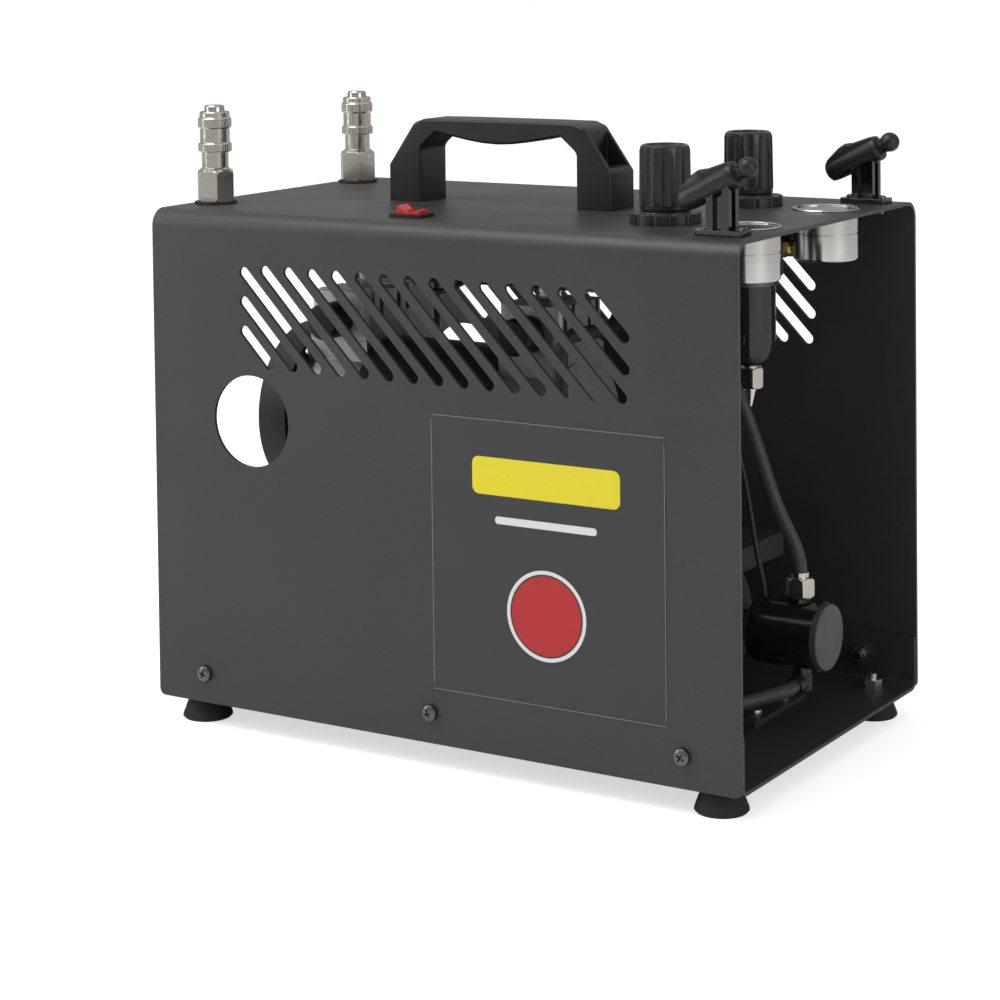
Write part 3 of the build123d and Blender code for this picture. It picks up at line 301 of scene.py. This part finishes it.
def stator_mat():
    m = M("laminated_core")
    w = m.n("ShaderNodeTexWave", bands_direction="X")
    w.inputs["Scale"].default_value = 300.0
    m.link(m.co, w.inputs["Vector"])
    m.put("Base Color", m.mix(w.outputs["Fac"], (0.16, 0.14, 0.13), (0.35, 0.34, 0.33)))
    m.put("Metallic", 0.8)
    m.put("Roughness", m.ramp(m.noise(200.0), 0.4, 0.6))
    m.put("Normal", m.bump(w.outputs["Fac"], 0.0001, m.bevel(0.0003)))
    return m.m


DIAL, SINTER, STATOR, ROCKER = dial_mat(), sinter_mat(), stator_mat(), rocker_mat()
LENS = glass_mat("gauge_lens", (0.97, 0.98, 0.98), 0.01, 1.49)
SMOKE = glass_mat("smoked_bowl", (0.10, 0.105, 0.112), 0.04, 1.52, 0.85)


def ink(name, col, rough=0.4):
    m = M(name)
    g = m.noise(1500.0, 2.0)
    m.put("Base Color", m.mix(m.ramp(g, 0.0, 1.0), tuple(v * 0.93 for v in col), col))
    m.put("Roughness", m.ramp(m.noise(600.0), rough - 0.05, rough + 0.05))
    m.put("Normal", m.bump(g, 0.000004))
    return m.m


YELLOW = ink("print_yellow", (0.86, 0.72, 0.02))
WHITE = ink("print_white", (0.80, 0.80, 0.79))
RED = ink("print_red", (0.50, 0.018, 0.022))
GREY = ink("print_grey", (0.22, 0.22, 0.22))
BLACK = ink("print_black", (0.02, 0.02, 0.02))

LOOK = {
    "cover": COVER, "base_tray": TRAY, "front_label": LABEL, "carry_handle": HANDLE,
    "regulator_knob_front": KNOB, "regulator_knob_rear": KNOB, "panel_nuts": NUTB,
    "airbrush_cradles": CRADLE, "holder_posts": POST, "coupler_bodies": NICKEL,
    "coupler_sleeve_front": NICKEL, "coupler_sleeve_rear": NICKEL, "coupler_washers": RUBBER,
    "cover_screws": BLACKZ, "top_screws": BLACKZ, "floor_screws": ZINC, "housing_nuts": ZINC,
    "rubber_feet": RUBBER, "rubber_isolators": RUBBER, "switch_housing": BLACKP,
    "switch_rocker": ROCKER, "mains_inlet": BLACKP, "wiring": WIREP, "air_hoses": HOSE,
    "gauge_cases": STAIN, "gauge_dials": DIAL, "gauge_lenses": LENS,
    "gauge_needle_front": BLACK, "gauge_needle_rear": BLACK, "gauge_sockets": BRASS,
    "filter_bowls": SMOKE, "filter_elements": SINTER, "drain_stem_front": CHROME,
    "drain_stem_rear": CHROME, "pipe_fittings": NICKEL, "regulator_bodies": ZAMAK,
    "regulator_diaphragms": RUBBER, "regulator_springs": STEEL, "air_tank": TANKP,
    "tank_brackets": SHELFP, "motor_shelf": SHELFP, "safety_valve": BRASS,
    "safety_valve_ring": STEEL, "drain_cock": BRASS, "drain_cock_wing": BRASS,
    "pressure_switch_body": PSBODY, "pressure_switch_cap": PSCAP, "crankcases": ALU,
    "cylinder_heads": ALU, "piston_left": ALU, "piston_right": ALU, "motor_shaft": STEEL,
    "motor_rotor": STATOR, "motor_stator": STATOR, "shaft_bearings": STEEL,
    "motor_housing": MOTORP, "cooling_fan": BLACKP, "fan_shroud": BLACKP,
    "intake_filters": BLACKP, "discharge_tubes": COPPER,
}
left = sorted(set(N) - set(LOOK))
if left:
    raise SystemExit("no material for " + ", ".join(left))


# ------------------------------------------------ shading of the CAD surfaces
def smooth_group():
    g = bpy.data.node_groups.new("smooth_by_angle", "GeometryNodeTree")
    g.interface.new_socket("Geometry", in_out="INPUT", socket_type="NodeSocketGeometry")
    g.interface.new_socket("Geometry", in_out="OUTPUT", socket_type="NodeSocketGeometry")
    i, o = g.nodes.new("NodeGroupInput"), g.nodes.new("NodeGroupOutput")
    s1 = g.nodes.new("GeometryNodeSetShadeSmooth")
    s2 = g.nodes.new("GeometryNodeSetShadeSmooth")
    s1.domain, s2.domain = "FACE", "EDGE"
    ang = g.nodes.new("GeometryNodeInputMeshEdgeAngle")
    cmp_ = g.nodes.new("FunctionNodeCompare")
    cmp_.data_type, cmp_.operation = "FLOAT", "GREATER_THAN"
    cmp_.inputs[1].default_value = math.radians(33)
    g.links.new(i.outputs[0], s1.inputs[0])
    g.links.new(s1.outputs[0], s2.inputs[0])
    g.links.new(ang.outputs["Unsigned Angle"], cmp_.inputs[0])
    g.links.new(cmp_.outputs[0], s2.inputs["Selection"])
    s1.inputs["Shade Smooth"].default_value = True
    s2.inputs["Shade Smooth"].default_value = False
    g.links.new(s2.outputs[0], o.inputs[0])
    return g


SMOOTH = smooth_group()


def tidy(o):
    w = o.modifiers.new("weld", "WELD")
    w.merge_threshold = 0.000002
    s = o.modifiers.new("smooth", "NODES")
    s.node_group = SMOOTH


for name, o in N.items():
    o.data.materials.clear()
    o.data.materials.append(LOOK[name])
    for p in o.data.polygons:
        p.material_index = 0
    tidy(o)

# the elbow under the pressure switch is black plastic, the other fittings are plated
fit = N["pipe_fittings"]
fit.data.materials.append(BLACKP)
for p in fit.data.polygons:
    c = fit.matrix_world @ p.center
    if 0.148 < c.x < 0.166 and 0.006 < c.y < 0.028 and c.z < 0.052:
        p.material_index = 1


# ------------------------------------------------------------ mesh-code pieces
def piece(name, bm, mat, body="housing"):
    bmesh.ops.recalc_face_normals(bm, faces=bm.faces)
    me = bpy.data.meshes.new(name)
    bm.to_mesh(me)
    bm.free()
    me.materials.append(mat)
    o = bpy.data.objects.new(name, me)
    bpy.context.scene.collection.objects.link(o)
    s = o.modifiers.new("smooth", "NODES")
    s.node_group = SMOOTH
    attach(o, body)
    return o


def prism(bm, pts, thick, place):
    """A flat outline in (u, v) millimetres, thick along w, mapped by place(u, v, w)."""
    a = [bm.verts.new(place(u, v, 0.0)) for u, v in pts]
    b = [bm.verts.new(place(u, v, thick)) for u, v in pts]
    bm.faces.new(a)
    bm.faces.new(list(reversed(b)))
    k = len(pts)
    for i in range(k):
        bm.faces.new((a[i], b[i], b[(i + 1) % k], a[(i + 1) % k]))


def band(bm, cx, cy, r0, r1, thick, place, a0=0.0, a1=2 * math.pi, n=96):
    """A flat ring or arc between two radii."""
    full = abs(a1 - a0 - 2 * math.pi) < 1e-6
    rows = []
    for i in range(n if full else n + 1):
        t = a0 + (a1 - a0) * i / n
        c, s = math.cos(t), math.sin(t)
        rows.append([bm.verts.new(place(cx + r * c, cy + r * s, w))
                     for r, w in ((r0, 0), (r1, 0), (r1, thick), (r0, thick))])
    m = len(rows)
    for i in range(m if full else m - 1):
        p, q = rows[i], rows[(i + 1) % m]
        for j in range(4):
            bm.faces.new((p[j], q[j], q[(j + 1) % 4], p[(j + 1) % 4]))
    if not full:
        bm.faces.new(rows[0])
        bm.faces.new(list(reversed(rows[-1])))


def rounded(x0, y0, x1, y1, r, n=6, skew=0.0):
    pts = []
    for cx, cy, a in ((x1 - r, y1 - r, 0), (x0 + r, y1 - r, 90), (x0 + r, y0 + r, 180),
                      (x1 - r, y0 + r, 270)):
        for i in range(n + 1):
            t = math.radians(a + 90 * i / n)
            y = cy + r * math.sin(t)
            pts.append((cx + r * math.cos(t) + skew * (y - (y0 + y1) / 2), y))
    return pts


lo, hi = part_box("front_label")
FACE = lo.y * 1000 - 0.002


def on_label(u, v, w):
    # u to the right, v up, w outwards, in millimetres in the part frame
    return Vector((u * MM, (FACE - w) * MM, v * MM))


lx0, lx1, lz0, lz1 = lo.x * 1000, hi.x * 1000, lo.z * 1000, hi.z * 1000
bm = bmesh.new()
prism(bm, rounded(lx0 + 26, lz1 - 40, lx1 - 26, lz1 - 20, 4.0), 0.05, on_label)
piece("label_print_yellow_bar", bm, YELLOW)
bm = bmesh.new()
prism(bm, rounded(lx0 + 40, lz1 - 55, lx1 - 40, lz1 - 51, 1.6), 0.05, on_label)
piece("label_print_white_line", bm, WHITE)
ex, ez = (lx0 + lx1) / 2, lz0 + 48.0
bm = bmesh.new()
band(bm, ex, ez, 0.01, 21.0, 0.05, on_label)
piece("label_print_red_disc", bm, RED)
bm = bmesh.new()
band(bm, ex, ez, 22.0, 24.0, 0.05, on_label)
piece("label_print_white_ring", bm, WHITE)
bm = bmesh.new()
for pts in (rounded(lx0 + 0.15, lz0 + 0.15, lx1 - 0.15, lz0 + 0.5, 0.15, 2),
            rounded(lx0 + 0.15, lz1 - 0.5, lx1 - 0.15, lz1 - 0.15, 0.15, 2),
            rounded(lx0 + 0.15, lz0 + 3, lx0 + 0.5, lz1 - 3, 0.15, 2),
            rounded(lx1 - 0.5, lz0 + 3, lx1 - 0.15, lz1 - 3, 0.15, 2)):
    prism(bm, pts, 0.02, on_label)
piece("label_edge_lines", bm, GREY)

# gauge dials: scale marks and generic numbers
for tag in ("front", "rear"):
    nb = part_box("gauge_needle_" + tag)
    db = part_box("gauge_dials")
    gy = -49.4 if tag == "front" else 49.4
    gx = (db[0].x + db[1].x) / 2 * 1000
    gz = db[1].z * 1000 + 0.004

    def on_dial(u, v, w, gx=gx, gy=gy, gz=gz):
        # the dial reads from the front right; u, v, w are millimetres about the dial centre, w up
        return Vector(((gx + u) * MM, (gy + v) * MM, (gz + w) * MM))

    bm = bmesh.new()
    for k in range(51):
        t = math.radians(225 - 270 * k / 50)
        c, s = math.cos(t), math.sin(t)
        r1 = 14.6
        r0, h = (11.6, 0.28) if k % 5 == 0 else (13.2, 0.12)
        prism(bm, [(r0 * c - h * s, r0 * s + h * c), (r1 * c - h * s, r1 * s + h * c),
                   (r1 * c + h * s, r1 * s - h * c), (r0 * c + h * s, r0 * s - h * c)],
              0.03, on_dial)
    band(bm, 0, 0, 14.6, 14.9, 0.03, on_dial, math.radians(-45), math.radians(225), 72)
    piece("gauge_marks_" + tag, bm, BLACK)
    bm = bmesh.new()
    band(bm, 0, 0, 15.2, 16.2, 0.03, on_dial, math.radians(-45), math.radians(36), 32)
    piece("gauge_red_zone_" + tag, bm, RED)
    for k in range(0, 11, 2):
        t = math.radians(225 - 27 * k)
        cu = bpy.data.curves.new("gauge_number_%s_%d" % (tag, k), "FONT")
        cu.body = str(k)
        cu.size = 3.0 * MM
        cu.align_x, cu.align_y = "CENTER", "CENTER"
        cu.extrude = 0.01 * MM
        cu.materials.append(BLACK)
        o = bpy.data.objects.new(cu.name, cu)
        bpy.context.scene.collection.objects.link(o)
        o.location = on_dial(9.2 * math.cos(t), 9.2 * math.sin(t), 0.03)
        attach(o, "housing")

# thin white pointer line on each pressure knob
for tag, gy in (("front", -49.6), ("rear", 49.6)):
    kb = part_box("regulator_knob_" + tag)
    kx, kz = (kb[0].x + kb[1].x) / 2 * 1000, kb[1].z * 1000
    bm = bmesh.new()
    prism(bm, rounded(-0.45, 3.5, 0.45, 9.3, 0.4, 4), 0.12,
          lambda u, v, w, kx=kx, gy=gy, kz=kz: Vector(((kx + u) * MM, (gy + v) * MM,
                                                     (kz - 1.4 + w) * MM)))
    piece("knob_pointer_" + tag, bm, WHITE, "knob_" + tag)

# weld beads where the tank's domes meet its shell
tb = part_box("air_tank")
tcy, tcz, tr = 24.0, 62.0, 38.0
for tag, x in (("left", -134.0), ("right", 98.0)):
    bm = bmesh.new()
    n, k = 180, 8
    rows = []
    for i in range(n):
        t = 2 * math.pi * i / n
        wob = 0.16 * math.sin(i * 2.1) + 0.10 * math.sin(i * 0.77)
        row = []
        for j in range(k):
            a = 2 * math.pi * j / k
            rr = tr - 0.15 + (0.75 + wob * 0.5) * math.sin(a)
            row.append(bm.verts.new(Vector(((x + (1.7 + wob) * math.cos(a)) * MM,
                                            (tcy + rr * math.cos(t)) * MM,
                                            (tcz + rr * math.sin(t)) * MM))))
        rows.append(row)
    for i in range(n):
        p, q = rows[i], rows[(i + 1) % n]
        for j in range(k):
            bm.faces.new((p[j], q[j], q[(j + 1) % k], p[(j + 1) % k]))
    piece("tank_weld_" + tag, bm, TANKP)

# ------------------------------------------------------- floor, light, camera
bm = bmesh.new()
R = 14.0
vs = [bm.verts.new((x, y, 0.0)) for x, y in ((-R, -R), (R, -R), (R, R), (-R, R))]
bm.faces.new(vs)
me = bpy.data.meshes.new("floor")
bm.to_mesh(me)
bm.free()
floor = bpy.data.objects.new("floor", me)
bpy.context.scene.collection.objects.link(floor)
fm = M("studio_white")
fm.put("Base Color", fm.mix(fm.ramp(fm.noise(0.8), 0.0, 1.0), (0.90, 0.90, 0.90),
                            (0.92, 0.92, 0.92)))
fm.put("Roughness", 0.55)
fm.put("Specular IOR Level", 0.25)
lp = fm.n("ShaderNodeLightPath")
fm.put("Emission Color", (1.0, 1.0, 1.0, 1.0))
fm.put("Emission Strength", fm.math("MULTIPLY", lp.outputs["Is Camera Ray"], 0.62))
me.materials.append(fm.m)

world = bpy.data.worlds.new("studio")
bpy.context.scene.world = world
world.use_nodes = True
wt = world.node_tree
bg = wt.nodes["Background"]
bg.inputs[0].default_value = (1.0, 0.998, 0.995, 1)
# white behind the machine; what it reflects is a dim room, brighter overhead
wl = wt.nodes.new("ShaderNodeLightPath")
wc = wt.nodes.new("ShaderNodeTexCoord")
wx = wt.nodes.new("ShaderNodeSeparateXYZ")
wr = wt.nodes.new("ShaderNodeMapRange")
wm = wt.nodes.new("ShaderNodeMix")
wr.inputs["From Min"].default_value, wr.inputs["From Max"].default_value = -0.2, 0.9
wr.inputs["To Min"].default_value, wr.inputs["To Max"].default_value = 0.22, 0.62
wt.links.new(wc.outputs["Generated"], wx.inputs[0])
wt.links.new(wx.outputs["Z"], wr.inputs["Value"])
wt.links.new(wl.outputs["Is Camera Ray"], wm.inputs[0])
wt.links.new(wr.outputs[0], wm.inputs[2])
wm.inputs[3].default_value = 1.0
wt.links.new(wm.outputs[0], bg.inputs[1])


def area(name, loc, aim, size, power, size_y=None, col=(1, 1, 1)):
    d = bpy.data.lights.new(name, "AREA")
    d.energy = power
    d.color = col
    d.shape = "RECTANGLE"
    d.size = size
    d.size_y = size_y or size
    o = bpy.data.objects.new(name, d)
    bpy.context.scene.collection.objects.link(o)
    o.location = loc
    o.rotation_euler = (Vector(aim) - Vector(loc)).to_track_quat("-Z", "Y").to_euler()
    return o


area("key_overhead", (-0.6, -0.9, 2.2), (0, 0, 0.1), 1.8, 26, 1.4)
area("fill_right", (2.2, -0.6, 0.9), (0.1, 0, 0.15), 1.2, 9, 1.2)
area("strip_left", (-1.8, -1.4, 0.9), (0, 0, 0.2), 0.5, 10, 1.4)

az, el, roll = math.radians(31.848), math.radians(2.491), math.radians(-0.669)
back = Vector((math.sin(az) * math.cos(el), -math.cos(az) * math.cos(el), math.sin(el)))
right = (-back).cross(Vector((0, 0, 1))).normalized()
up = right.cross(-back).normalized()
r2 = right * math.cos(roll) + up * math.sin(roll)
u2 = up * math.cos(roll) - right * math.sin(roll)
HOME = Vector((0.76794, -1.27256, 0.44694))
cam = bpy.data.cameras.new("camera")
cam.lens = 94.33
cam.sensor_width = 36.0
cam.clip_end = 100.0
co = bpy.data.objects.new("camera", cam)
bpy.context.scene.collection.objects.link(co)
co.matrix_world = Matrix.Translation(HOME) @ \
    Matrix((r2, u2, back)).transposed().to_4x4()
bpy.context.scene.camera = co


def home_shift(path, value):
    # the lens is shifted only while the camera stands at HOME
    fc = cam.driver_add(path)
    fc.driver.type = "AVERAGE"
    v = fc.driver.variables.new()
    v.type = "TRANSFORMS"
    t = v.targets[0]
    t.id, t.transform_type, t.transform_space = co, "LOC_X", "WORLD_SPACE"
    for m in list(fc.modifiers):
        fc.modifiers.remove(m)
    for x, y in ((-0.045, 0.0), (-0.022, value), (0.022, value), (0.045, 0.0)):
        k = fc.keyframe_points.insert(HOME.x + x, y)
        k.interpolation = "LINEAR"
    fc.extrapolation = "CONSTANT"


home_shift("shift_y", -0.45)
home_shift("shift_x", 0.00235)
bpy.context.scene.view_settings.view_transform = "Standard"
